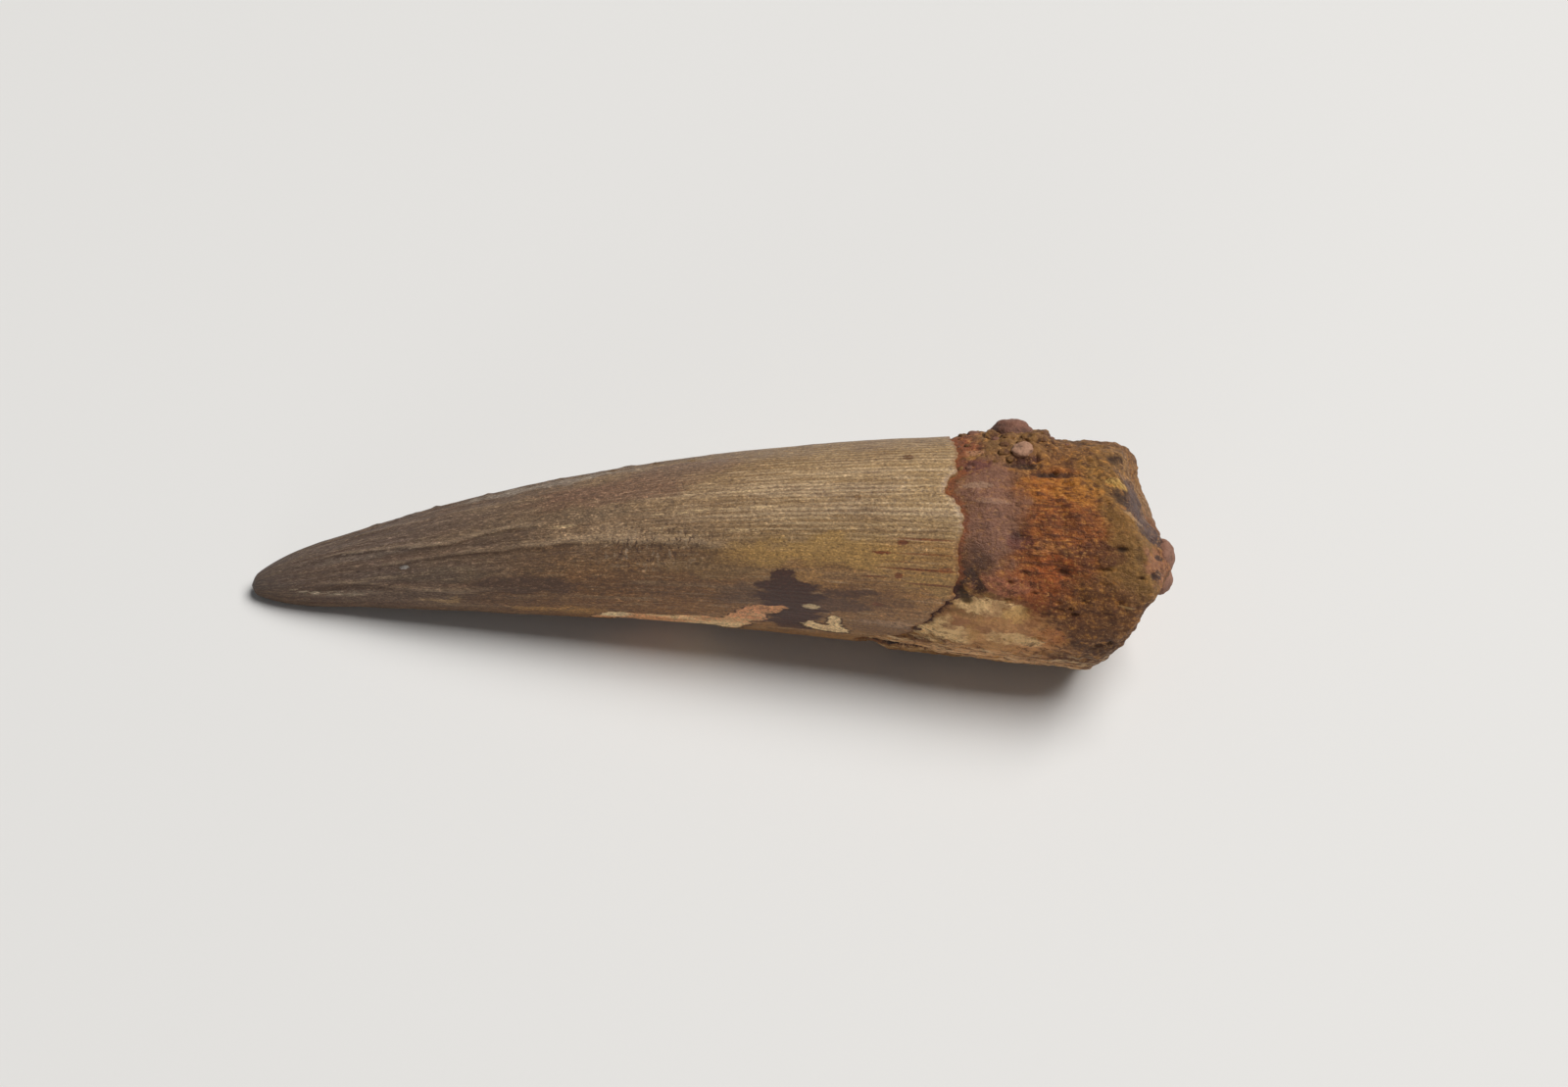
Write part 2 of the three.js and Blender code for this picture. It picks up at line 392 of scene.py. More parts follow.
def bare_strip(x, angle):
    """Where the enamel has flaked from the front edge, from 0 on the enamel to 1 on the dentine."""
    degrees = np.degrees(angle) + skin_rough(x, angle, STRIP_SIDES_ROUGH)
    top = drifting(x, STRIP_POINT, STRIP_TOP)
    bottom = drifting(x, STRIP_POINT, STRIP_BOTTOM)
    inside = band(degrees, top - STRIP_EDGE, top + STRIP_EDGE, bottom, bottom + STRIP_LOWER_EDGE)
    stray = skin_rough(x, angle, STRIP_ENDS_ROUGH) + STRIP_SLANT * (degrees - STRIP_SLANT_FROM)
    strip = inside * smoothstep(x - stray, *STRIP_BEGINS) * (1 - smoothstep(x + stray, *STRIP_ENDS))
    flakes = np.minimum(features(x, angle, SMALL_FLAKES), 1)
    flaked = smoothstep(flakes + skin_rough(x, angle, FLAKES_ROUGH), *FLAKE_EDGE)
    return np.maximum(strip, flaked * smoothstep(flakes, *FLAKE_REACH))


SEAM = 1e-6


def turned_form(columns, rings):
    """A sheet rolled into a ball, to be drawn out into shape: its mesh, and the ring and the angle of
    each of its points."""
    form = bmesh.new()
    bmesh.ops.create_grid(form, x_segments=columns, y_segments=rings, size=1)
    for vert in form.verts:
        turn = (vert.co.x + 1) * math.pi
        down = (vert.co.y + 1) * math.pi / 2
        vert.co = (math.sin(down) * math.cos(turn), math.sin(down) * math.sin(turn), math.cos(down))
    bmesh.ops.remove_doubles(form, verts=form.verts, dist=SEAM)
    flat = np.array([v.co for v in form.verts])
    ring = np.round(np.arccos(np.clip(flat[:, 2], -1, 1)) / math.pi * rings).astype(int)
    column = np.round(np.arctan2(flat[:, 1], flat[:, 0]) / (2 * math.pi) * columns) % columns
    return form, ring, column * (2 * math.pi / columns)


def finished_piece(name, form, points, attributes):
    """The worked form as a smooth piece in the frame, with its skin values stored for its finish."""
    for vert, point in zip(form.verts, (points * MM).tolist()):
        vert.co = point
    bmesh.ops.recalc_face_normals(form, faces=form.faces)
    mesh = bpy.data.meshes.new(name)
    form.to_mesh(mesh)
    form.free()
    mesh.polygons.foreach_set("use_smooth", [True] * len(mesh.polygons))
    for key, values in attributes.items():
        kind, slot = ("FLOAT_VECTOR", "vector") if values.ndim == 2 else ("FLOAT", "value")
        stored = mesh.attributes.new(key, kind, "POINT")
        stored.data.foreach_set(slot, values.astype(np.float32).ravel())
    piece = bpy.data.objects.new(name, mesh)
    bpy.context.collection.objects.link(piece)
    return piece


CROWN_COLUMNS = 704
CROWN_RINGS = 128
TIP_CROWDING = 1.25
EDGE_PULL = 4
# Rings behind the enamel's edge, which turn it in: mm past the edge, and mm under the cone.
LEDGE = [(0.10, 0.06), (0.16, 0.45), (-0.3, 1.3)]
CLOSED_AT = EDGE_MEAN - 4

last_ring = CROWN_RINGS + len(LEDGE) + 1
crown_form, ring, angle = turned_form(CROWN_COLUMNS, last_ring)
edge = enamel_edge(angle)
drawn = EDGE_MEAN * np.minimum(ring / CROWN_RINGS, 1) ** TIP_CROWDING
x = drawn + (edge - EDGE_MEAN) * (drawn / EDGE_MEAN) ** EDGE_PULL
ridges = crown_ridges(x, angle)
bare = bare_strip(x, angle)
steps = terraces(x, angle)
waves = broad_waves(x, angle)
radius = radius_at(x) + crown_relief(x, angle, ridges, steps, waves) - STRIP_DEPTH * bare
for step, (past_edge, below) in enumerate(LEDGE, start=1):
    under = ring == CROWN_RINGS + step
    x[under] = edge[under] + past_edge
    radius[under] = radius_at(x[under]) - below
radius[ring == 0] = 0
x[ring == last_ring] = CLOSED_AT
radius[ring == last_ring] = 0
crown = finished_piece(
    "crown",
    crown_form,
    place(x, radius * np.cos(angle), radius * SIDE_SHARE * np.sin(angle)),
    {
        "wrap": wrapped(x, angle),
        "ridge": ridges,
        "crest": steps + 0.5 * waves,
        "bare": bare,
        "to_edge": edge - x,
    },
)


class Value:
    """A number or a vector inside a finish, so that sums on it can be written as sums."""

    def __init__(self, finish, socket):
        self.finish = finish
        self.socket = socket

    def _sum(self, operation, first, second):
        return self.finish.node("ShaderNodeMath", {"operation": operation}, {0: first, 1: second})

    def __add__(self, other):
        return self._sum("ADD", self, other)

    def __radd__(self, other):
        return self._sum("ADD", other, self)

    def __sub__(self, other):
        return self._sum("SUBTRACT", self, other)

    def __rsub__(self, other):
        return self._sum("SUBTRACT", other, self)

    def __mul__(self, other):
        return self._sum("MULTIPLY", self, other)

    def __rmul__(self, other):
        return self._sum("MULTIPLY", other, self)

    def __truediv__(self, other):
        return self._sum("DIVIDE", self, other)

    def __rtruediv__(self, other):
        return self._sum("DIVIDE", other, self)

    def between(self, low, high):
        """0 below the low value, 1 above the high one, smooth between them."""
        settings = {"interpolation_type": "SMOOTHSTEP", "clamp": False}
        sockets = {"Value": self, "From Min": low, "From Max": high}
        return self.finish.node("ShaderNodeMapRange", settings, sockets)


def colour(red, green, blue):
    """A colour as seen on a screen, from 0 to 255, as the shader's own numbers."""
    return tuple(((c / 255 + 0.055) / 1.055) ** 2.4 for c in (red, green, blue)) + (1,)


# How far the outlines of stains stray, for wide stains first: lumps per millimetre each way, and how
# far that moves an outline along the tooth in millimetres and around it in degrees.
STRAYS = (
    ((0.35, 0.5, 0.5), 5.5, 30),
    ((1.5, 2.2, 2.2), 1.8, 10),
    ((3.6, 5.6, 5.6), 0.8, 3.6),
    ((1.2, 5.6, 5.6), 1.6, 1.6),
)
SMALLER_STAINS = (5, 2.4, 0.7)
SOFTNESS = (0.3, 0.18, 0.2, 0.5)


class Finish:
    """A material that is built up node by node."""

    def __init__(self, name):
        self.material = bpy.data.materials.new(name)
        self.material.use_nodes = True
        self.tree = self.material.node_tree
        self.surface = self.tree.nodes["Principled BSDF"]
        self.base = None
        self.skins = []

    def node(self, kind, settings, sockets, output=0):
        made = self.tree.nodes.new(kind)
        for key, value in settings.items():
            if key == "stops":
                ramp = made.color_ramp
                while len(ramp.elements) < len(value):
                    ramp.elements.new(1)
                for element, (position, shade) in zip(ramp.elements, value):
                    element.position = position
                    element.color = shade
            else:
                setattr(made, key, value)
        for key, value in sockets.items():
            if isinstance(value, Value):
                self.tree.links.new(value.socket, made.inputs[key])
            else:
                made.inputs[key].default_value = value
        return Value(self, made.outputs[output])

    def attribute(self, name, output="Fac"):
        return self.node("ShaderNodeAttribute", {"attribute_name": name}, {}, output)

    def parts(self, vector):
        return [self.node("ShaderNodeSeparateXYZ", {}, {0: vector}, axis) for axis in range(3)]

    def vector(self, operation, first, second, output=0):
        sockets = {0: first, 1: second}
        return self.node("ShaderNodeVectorMath", {"operation": operation}, sockets, output)

    def grain(self, vector, stretch, detail=2.0, roughness=0.5, output=0):
        """Random values around 0.5: stretch is how many lumps there are per millimetre each way."""
        scaled = self.vector("MULTIPLY", vector, stretch)
        sockets = {"Vector": scaled, "Scale": 1.0, "Detail": detail, "Roughness": roughness}
        return self.node("ShaderNodeTexNoise", {}, sockets, output)

    def mix(self, amount, first, second, blend="MIX"):
        settings = {"data_type": "RGBA", "blend_type": blend}
        return self.node("ShaderNodeMix", settings, {0: amount, 6: first, 7: second}, 2)

    def coat(self, amount, shade, blend="MIX"):
        """One more colour over the ones that the finish has."""
        self.base = self.mix(amount, self.base, shade, blend)

    def lay_patches(self, stains):
        for shade, centre, half, strength in stains:
            self.coat(self.patch(centre, half) * strength, colour(*shade))

    def skin(self, wrap):
        """Millimetres from the tip and degrees from the back edge. The seam is underneath.

        For stains they are kept together, straying a long way for wide stains and less for others."""
        along, back, side = self.parts(wrap)
        turn = self.node("ShaderNodeMath", {"operation": "ARCTAN2"}, {0: 0 - back, 1: side})
        degrees = turn * (180 / math.pi) + 90
        for stretch, reach_along, reach_around in STRAYS:
            stray = self.grain(wrap, stretch, 5, 0.62, "Color")
            first = self.node("ShaderNodeSeparateColor", {}, {0: stray}, 0) - 0.5
            second = self.node("ShaderNodeSeparateColor", {}, {0: stray}, 1) - 0.5
            spot = {0: along + first * reach_along, 1: degrees + second * reach_around}
            self.skins.append(self.node("ShaderNodeCombineXYZ", {}, spot))
        return along, degrees

    def patch(self, centre, half, soft=None):
        """1 inside an oval on the skin and 0 outside it, with an edge that suits its size."""
        level = sum(half[1] <= most for most in SMALLER_STAINS)
        soft = soft or SOFTNESS[level]
        offset = self.vector("SUBTRACT", self.skins[level], (*centre, 0))
        share = self.vector("MULTIPLY", offset, (1 / half[0], 1 / half[1], 0))
        return self.vector("LENGTH", share, (0, 0, 0), "Value").between(1 + soft, 1 - soft)

    def done(self, piece, roughness, bump, bump_height):
        for name, value in (("Base Color", self.base), ("Roughness", roughness)):
            self.tree.links.new(value.socket, self.surface.inputs[name])
        sockets = {"Height": bump, "Distance": bump_height, "Strength": 1.0}
        normal = self.node("ShaderNodeBump", {}, sockets)
        self.tree.links.new(normal.socket, self.surface.inputs["Normal"])
        piece.data.materials.append(self.material)


# Stains, and on the crown a few painted highlights: colour from 0 to 255, centre as mm from the tip
# and degrees from the back edge, half sizes along and around, and how strong they are.
PLUM = (72, 42, 31)
DUSK = (88, 64, 50)
OLIVE = (174, 136, 78)
OCHRE = (176, 130, 74)
RUST = (112, 54, 28)
CREAM = (226, 194, 146)
TAN = (168, 126, 86)
FLECK = (190, 170, 142)
CROWN_STAINS_AND_HIGHLIGHTS = [
    ((118, 84, 68), (33, 44), (7, 13), 0.6),
    ((112, 84, 72), (39, 26), (5, 9), 0.5),
    ((124, 102, 78), (26, 66), (9, 7), 0.5),
    (DUSK, (24.5, 124), (4.6, 9), 0.8),
    (DUSK, (38, 124), (8, 14), 0.3),
    (DUSK, (44.5, 130), (3, 8), 0.5),
    ((132, 102, 64), (41.5, 108), (4, 8), 0.5),
    (OLIVE, (50, 97), (7.5, 9), 0.75),
    (OLIVE, (60, 110), (3, 7), 0.5),
    (TAN, (57.5, 138), (4.0, 13), 0.15),
    ((112, 76, 46), (54.4, 126), (3.6, 8), 0.7),
    ((110, 78, 54), (56.6, 150), (3.6, 8), 0.5),
    ((172, 138, 108), (56.4, 143), (2.6, 2.6), 0.5),
    ((92, 60, 40), (52.2, 122), (1.7, 2.6), 0.9),
    ((84, 54, 38), (54.2, 120.5), (1.1, 2.0), 0.8),
    (PLUM, (47.4, 113), (1.3, 4.9), 1.0),
    (PLUM, (47.6, 120), (2.8, 4.6), 1.0),
    (PLUM, (48.2, 128), (3.6, 4.9), 1.0),
    (PLUM, (48.3, 136), (3.0, 4.9), 1.0),
    (PLUM, (48.1, 144), (2.5, 4.9), 1.0),
    (PLUM, (48.2, 152), (2.4, 4.9), 1.0),
    (PLUM, (48.4, 158), (2.0, 4.0), 0.9),
    ((102, 70, 48), (52.2, 131), (2.4, 4.9), 0.9),
    (OCHRE, (49.4, 112), (1.2, 3), 0.7),
    (CREAM, (49.6, 134), (0.7, 2.2), 0.8),
    # The next seven rows are painted highlights: pale dashes along the bright band of the upper side,
    # where ridges catch the lamp.
    (CREAM, (36.6, 70), (0.7, 0.6), 0.6),
    (CREAM, (38.5, 70), (0.6, 0.5), 0.5),
    (CREAM, (40.5, 69), (0.9, 0.6), 0.6),
    (CREAM, (42.6, 69), (0.8, 0.5), 0.5),
    (CREAM, (45.6, 69), (1.0, 0.7), 0.6),
    (CREAM, (44.0, 57), (1.4, 0.7), 0.5),
    (CREAM, (43.8, 84), (1.4, 0.8), 0.4),
    (CREAM, (28.5, 73), (1.2, 1.4), 0.35),
    ((196, 156, 104), (17.2, 146), (1.9, 5.2), 0.6),
    ((146, 116, 92), (13.6, 122), (2.6, 3.4), 0.4),
    (FLECK, (5.0, 124), (0.5, 2.6), 0.9),
    (FLECK, (6.1, 128), (0.4, 2.8), 0.9),
    (FLECK, (8.0, 133), (0.6, 2.0), 0.9),
    (FLECK, (9.9, 137), (0.8, 2.0), 0.9),
    (FLECK, (4.2, 117), (0.4, 1.8), 0.6),
    (OCHRE, (28.0, 158), (4.0, 8), 0.7),
    ((178, 172, 164), (14.4, 97), (0.42, 2.4), 1.0),
    ((54, 40, 34), (10.2, 96), (0.16, 1.6), 0.9),
    ((54, 40, 34), (12.2, 96), (0.18, 1.4), 0.7),
    ((150, 136, 92), (17.5, 110), (5, 7), 0.1),
    ((80, 62, 52), (16.6, 112), (3.4, 8), 0.45),
    ((150, 134, 118), (10.5, 72), (5, 6), 0.4),
    ((136, 114, 96), (13, 137), (6, 14), 0.4),
    ((176, 146, 112), (32, 84), (3.8, 8), 0.5),
    # Painted highlight: a pale grey band just under the back edge.
    ((154, 140, 124), (27, 15), (8, 5.6), 0.55),
    ((150, 128, 104), (9.6, 139), (1.0, 2.2), 0.6),
    ((96, 60, 34), (57.8, 35), (0.5, 2.4), 0.9),
    ((120, 86, 50), (53.5, 64), (0.25, 2.0), 0.7),
    (RUST, (57.2, 90), (0.45, 1.4), 0.9),
    (RUST, (59.1, 88), (2.4, 0.6), 0.8),
    (RUST, (55.4, 96), (0.8, 0.8), 0.9),
    (RUST, (59.2, 96), (3.0, 0.45), 0.6),
    (RUST, (58.6, 104.5), (3.0, 0.6), 0.9),
    (RUST, (56.9, 108.6), (0.35, 1.6), 0.8),
    ((150, 84, 40), (60.8, 104), (0.6, 1.4), 0.7),
    (RUST, (54.6, 110), (1.1, 0.55), 0.8),
    (RUST, (59.8, 112.6), (2.2, 0.6), 0.8),
    (RUST, (57.0, 100.5), (1.6, 0.4), 0.4),
    (RUST, (55.2, 128), (0.5, 1.2), 0.6),
    (DUSK, (30, 248), (6, 12), 0.6),
    (OCHRE, (43, 222), (5, 9), 0.6),
    (OLIVE, (52, 262), (6, 10), 0.6),
    (PLUM, (39.5, -66), (1.6, 4.5), 0.8),
    (PLUM, (41.2, -71), (1.4, 3.5), 0.8),
    (CREAM, (50.5, -54), (1.6, 0.8), 0.5),
    (CREAM, (46.2, -48), (1.1, 0.7), 0.5),
    (CREAM, (55.0, 240), (0.8, 2.0), 0.6),
    (RUST, (56.8, -63), (1.4, 0.5), 0.8),
    (RUST, (54.1, -42), (0.5, 1.6), 0.8),
    (RUST, (33.6, -58), (0.4, 1.8), 0.6),
    ((124, 102, 78), (22, -64), (7, 9), 0.5),
]

LIGHTER_GRAIN = (2.4, 2.35, 2.3, 1)
GREYER_GRAIN = (1.95, 2.05, 2.2, 1)
GROUND_TO = 62
ENAMEL_BUMP = 0.08 * MM

enamel = Finish("enamel")
wrap = enamel.attribute("wrap", "Vector")
along, degrees = enamel.skin(wrap)
ridge = enamel.attribute("ridge")
crest = enamel.attribute("crest")
bare_dentine = enamel.attribute("bare")
to_edge = enamel.attribute("to_edge")
cloud = enamel.grain(wrap, (0.12, 0.28, 0.28), 3)
streak = enamel.grain(wrap, (0.09, 0.9, 0.9), 4, 0.6)
fine_streak = enamel.grain(wrap, (0.3, 3.4, 3.4), 4, 0.62)
across = enamel.grain(wrap, (2.6, 1.1, 1.1), 3, 0.6)
speck = enamel.grain(wrap, (2.6, 3.4, 3.4), 4, 0.72)
pepper = enamel.grain(wrap, (4.2, 7.0, 7.0), 2, 0.7)
mottle = enamel.grain(wrap, (1.3, 1.7, 1.7), 4, 0.65)
towards_root = along.between(26, 50)

enamel.base = enamel.node(
    "ShaderNodeValToRGB",
    {"stops": [
        (0.00, colour(104, 87, 77)),
        (0.22, colour(112, 92, 78)),
        (0.38, colour(119, 95, 73)),
        (0.52, colour(132, 104, 74)),
        (0.70, colour(145, 115, 79)),
        (0.86, colour(158, 127, 86)),
        (1.00, colour(168, 136, 92)),
    ]},
    {0: (along + (streak - 0.5) * 14 + (cloud - 0.5) * 10) / GROUND_TO},
)
# Painted shade: the lower side is painted warmer and darker below a line that dips near the root,
# standing in for where the lamp's sheen on the upper side ends.
sag = along.between(31, 42) * along.between(58, 50) * 8
lower = (degrees - sag + (fine_streak - 0.5) * 8).between(85, 91)
lower = lower * along.between(16, 30)
enamel.coat(lower * 0.6, colour(255, 226, 176), "MULTIPLY")
low_front = (degrees + (cloud - 0.5) * 40).between(100, 125)
enamel.coat(low_front * 0.45, colour(252, 216, 176), "MULTIPLY")
# Painted highlight: a lighter, streaky band on the upper side towards the root, where the lamp's broad
# sheen falls.
painted_top_highlight = degrees.between(25, 50) * degrees.between(88, 66) * towards_root
painted_top_highlight = painted_top_highlight * streak.between(0.4, 0.6)
enamel.coat(painted_top_highlight * 0.45, colour(222, 194, 158))
# Painted sheen: near the back edge, seen at a grazing angle, the enamel is painted greyer and a little
# bluish.
painted_edge_sheen = degrees.between(44, 12) * degrees.between(-70, -30)
enamel.coat(painted_edge_sheen * 0.45, colour(196, 192, 194), "MULTIPLY")
# Painted shade: a dark line right along the back edge towards the tip, where that edge is seen at a
# grazing angle.
painted_rim_shade = (degrees + (streak - 0.5) * 14).between(13, 5) * degrees.between(-50, -20)
painted_rim_shade = painted_rim_shade * (1 - towards_root)
enamel.coat(painted_rim_shade * 0.45, colour(70, 58, 52))
enamel.coat(cloud.between(0.5, 0.65) * 0.3, colour(108, 80, 58))
enamel.coat(streak.between(0.5, 0.68) * 0.35, colour(100, 74, 52))
enamel.coat(streak.between(0.48, 0.34) * 0.25, colour(172, 144, 108))
streaked = 0.28 + towards_root * 0.22
enamel.coat(fine_streak.between(0.52, 0.72) * streaked, colour(196, 166, 126))
enamel.coat(fine_streak.between(0.48, 0.3) * streaked, colour(90, 62, 42))
enamel.lay_patches(CROWN_STAINS_AND_HIGHLIGHTS)
low_flecks = enamel.patch((7.8, 131), (4.2, 4.8), 0.5) * speck.between(0.48, 0.58)
enamel.coat(low_flecks * 0.85, colour(190, 170, 144))
# Painted highlight on the lips of the terraces and waves, and painted shade in the troughs under them,
# following their relief.
painted_crest_highlight = 0.12 + speck.between(0.4, 0.6) * 0.4
enamel.coat(crest.between(0.0, 0.08) * painted_crest_highlight, colour(176, 150, 120))
enamel.coat(crest.between(0.0, -0.08) * 0.35, colour(72, 52, 40))
# Painted shade in the grooves between the fine ridges, and painted highlights on their crests,
# strongest on the upper side near the root.
painted_ridge_shading = towards_root * degrees.between(100, 80) * degrees.between(8, 26)
painted_ridge_shading = painted_ridge_shading * (streak + fine_streak).between(0.75, 1.15)
enamel.coat(ridge.between(0.35, 0.05) * (0.1 + painted_ridge_shading * 0.3), colour(104, 74, 44))
enamel.coat(ridge.between(0.6, 1.0) * painted_ridge_shading * 0.3, colour(220, 194, 156))
ticked = enamel.patch((36, 94), (5.0, 16), 0.6)
enamel.coat(ticked * across.between(0.55, 0.61) * 0.8, colour(70, 48, 36))
enamel.coat(ticked * across.between(0.45, 0.36) * 0.5, colour(170, 146, 118))
enamel.coat(across.between(0.52, 0.7) * 0.15, colour(84, 60, 42))
dentine = (cloud + speck).between(0.9, 1.1)
dentine = enamel.mix(dentine, colour(214, 154, 106), colour(246, 212, 158))
dentine = enamel.mix(enamel.patch((44.4, 148), (2.4, 9)) * 0.4, dentine, colour(204, 138, 100))
dentine = enamel.mix(fine_streak.between(0.5, 0.62) * 0.4, dentine, colour(168, 104, 68))
dentine = enamel.mix(speck.between(0.5, 0.64) * 0.4, dentine, colour(140, 84, 60))
dentine = enamel.mix(enamel.patch((32.4, 164), (1.9, 9)) * 0.7, dentine, colour(242, 218, 172))
# Painted shadow: the enamel's broken edge darkens a thin rim round the bare strip.
enamel.coat(bare_dentine.between(0.02, 0.3) * 0.8, colour(66, 42, 30))
enamel.coat(bare_dentine.between(0.35, 0.7), dentine)
mottled = 0.4 - towards_root * 0.28
enamel.coat(mottle.between(0.52, 0.64) * mottled, colour(82, 64, 54))
enamel.coat(mottle.between(0.48, 0.36) * mottled, GREYER_GRAIN, "MULTIPLY")
enamel.coat(pepper.between(0.52, 0.66) * 0.45, colour(70, 48, 36))
pale_pepper = pepper.between(0.48, 0.34) * (0.5 - towards_root * 0.15)
enamel.coat(pale_pepper, LIGHTER_GRAIN, "MULTIPLY")
enamel.coat(speck.between(0.55, 0.7) * 0.55, colour(70, 48, 36))
pale_speck = speck.between(0.45, 0.3) * (0.6 - towards_root * 0.25)
enamel.coat(pale_speck, LIGHTER_GRAIN, "MULTIPLY")
# Partly painted shade at the lip where the enamel turns in, and partly a brown line along its broken
# edge.
enamel.coat(to_edge.between(0.3, 0.0) * 0.5, colour(120, 76, 42))
gloss = 0.56 - towards_root * 0.16 + (speck - 0.5) * 0.25 + (cloud - 0.5) * 0.2 + bare_dentine * 0.2
bump = fine_streak * 0.6 + speck * (2.2 - towards_root * 1.3) + across * 0.3
enamel.done(crown, gloss, bump, ENAMEL_BUMP)
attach(crown, "root")
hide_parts("tooth")


# ---- Root ----
# Below the enamel the root is bare dentine, stained by iron and crusted with sandy matrix. It is
# broken across, and the break shows the dentine round the filled pulp hollow.

ROOT_COLUMNS = 500
ROOT_WALL_RINGS = 138
BREAK_RINGS = 56
# Rings that begin the root inside the crown: mm past the enamel's edge, and mm under the cone.
UNDER_ENAMEL = [(-2.5, 1.4), (-1.0, 0.7), (-0.25, 0.4)]
BEGINS_AT = EDGE_MEAN - 8
ENAMEL_THICKNESS = 0.3
CREVICE_WIDTH = 2.5
CREVICE_CRUST = 0.25
FILLED_CREVICE = 0.5
FILLED_TURN = 0.1
FILLED_EDGE = (0.75, 0.93)
FILLING = 0.8
CRUST = 0.08
CRUST_THICKEST = 67.0
CRUST_REACH = 8.0
FRONT_WEAR = 0.35
FRONT_WEAR_STRETCH = (65, 73)

# Faces of the break: mm from the tip, and how much they lean towards the back and to the side.
# Mounds on it: how far they stand out, where they are from the middle line, and half their width.
BREAK_FACES = [(80.2, 0.42, 0.30), (79.1, -0.54, -0.06), (81.6, 0.05, 0.42), (80.8, 0.10, -0.45)]
BREAK_MOUNDS = [(0.8, 0.6, 3.2, 2.4), (0.6, -2.2, 2.6, 1.8)]
BREAK_OUT = 0.1
BREAK_CORNER = 0.6
BREAK_CORNER_EDGE = (7, 9.3)
BREAK_GRAIN = 0.6
BREAK_GRAIN_HEIGHT = 0.06
BREAK_TORN = [(0.4, 2.4, 6.1), (0.12, 0.5, 4.9)]
BREAK_CRACKED = [(0.3, 1.3, 1.9)]
BREAK_SKIN = [(0.25, 0.7, 3.1)]
RIM_DROP = 0.35
RIM_ROUND = 0.56
RIM_UNEVEN = [(0.48, 1.6, 1, 9.4)]
RIM_SHARP = 0.15
RIM_SHARPER = 0.8
RIM_SHARP_EDGE = (0.8, 0.95)

# The root's own layers of roughness: its heap and its splintered lower side are rougher, and one
# place on its upper side is smoother.
ROOT_LUMPS = [(0.24, 3.2, 1, 0.4)]
SANDY_LUMPS = [(0.17, 1.3, 1, 7.7), (0.09, 0.5, 1, 2.9)]
SANDY_PLACES = [(1, 2.5, 1, 5.8)]
SANDY_SHARE = 0.6
ROOT_GRAIN = 0.6
ROOT_GRAIN_HEIGHT = 0.07
SMOOTH_PLACE = (64.2, 68, 3.0, 5.2, 1.0)
SMOOTH_SHARE = 0.85
SMOOTH_DEPTH = 0.12
LEAVES = [(0.24, 0.7, 6.25, 3.9)]
THIN_LEAVES = [(0.09, 0.3, 6.25, 1.2)]
LEAF_TWIST = 0.002
SPLINTERED_DEGREES = (150, 158, 200, 220)
SPLINTERED_TO = (69, 73)
SPLINTER_SHARE = 0.6
HEAP_PLACE = (67, 10, 3.4, 5.5, 1.0)
HEAP_LUMPS = [(0.5, 1.4, 1, 6.2)]
SMALL_HEAP_LUMPS = [(0.2, 0.6, 1, 8.8)]
HEAP_SUNK = 0.3
HEAP_GRAIN = 0.45
HEAP_GRAIN_HEIGHT = 0.08
HEAP = [
    (73.5, 2, 4.5, 3.5, -0.28),
    (67.2, 22, 2.9, 3.8, 0.7),
    (63.5, 5, 1.3, 2.0, 0.15),
    (69.2, 8, 1.0, 1.3, 0.1),
    (70.4, 320, 2.2, 2.2, 0.5),
    (66.0, 290, 2.0, 2.0, 0.4),
    (65.0, 345, 2.6, 3.0, 0.4),
]
ROOT_HOLLOWS = [
    (67.2, 43, 1.4, 0.6, -0.5),
    (69.9, 49, 2.2, 0.35, -0.35),
    (61.9, 115, 0.5, 0.5, -0.6),
    (62.5, 120, 0.6, 0.35, -0.5),
    (63.2, 97, 1.5, 1.5, -0.22),
    (60.6, 128, 0.9, 0.25, -0.25),
    (58.6, 143, 0.6, 0.4, -0.2),
    (57.2, 173, 3.2, 0.55, -0.9),
    (58.0, 188, 4.5, 1.8, 0.45),
    (78.7, 86, 0.5, 0.5, -0.5),
    (78.2, 97, 0.6, 0.45, -0.5),
    (76.2, 59, 1.7, 1.2, -0.45),
    (75.4, 33, 1.2, 1.0, -0.4),
    (66.6, 84, 0.8, 0.6, -0.2),
    (63.2, 60, 0.5, 0.3, 0.14),
    (64.2, 66, 1.3, 0.3, 0.14),
    (75.6, 114, 0.5, 0.25, 0.15),
    (76.2, 69, 1.0, 0.35, 0.15),
    (75.0, 50, 0.6, 0.4, 0.3),
    (72.8, 105, 1.4, 0.9, 0.2),
    (70.6, 90, 1.1, 0.9, 0.2),
]
ROOT_PITS = 190
pits = random.Random(5)
PITS = [
    (
        pits.uniform(65, 80),
        pits.uniform(20, 340),
        pits.uniform(0.2, 0.6),
        pits.uniform(0.12, 0.3),
        -pits.uniform(0.08, 0.3),
    )
    for _ in range(ROOT_PITS)
]


def flat_points(back, side):
    """Places on the break, as points on a flat sheet."""
    return np.stack([back, side, np.zeros_like(back)], axis=1)


def flat_rough(flat, layers):
    """Roughness of the break in several layers, each with a height, a size of its lumps and a seed."""
    return sum(height * rough(flat, size, seed) for height, size, seed in layers)


def break_at(back, side):
    """How far from the tip the broken face is: the nearest of a few faces, roughened."""
    flat = flat_points(back, side)
    leaning = [out - lean_back * back - lean_side * side for out, lean_back, lean_side in BREAK_FACES]
    torn = flat_rough(flat, BREAK_TORN) - np.abs(flat_rough(flat, BREAK_CRACKED))
    corner = BREAK_CORNER * smoothstep(back, *BREAK_CORNER_EDGE)
    face = np.min(leaning, axis=0) + BREAK_OUT + corner + torn
    for out, centre_back, centre_side, half in BREAK_MOUNDS:
        face += out * np.exp(-((np.hypot(back - centre_back, side - centre_side) / half) ** 4))
    return face + BREAK_GRAIN_HEIGHT * grains(flat, BREAK_GRAIN)


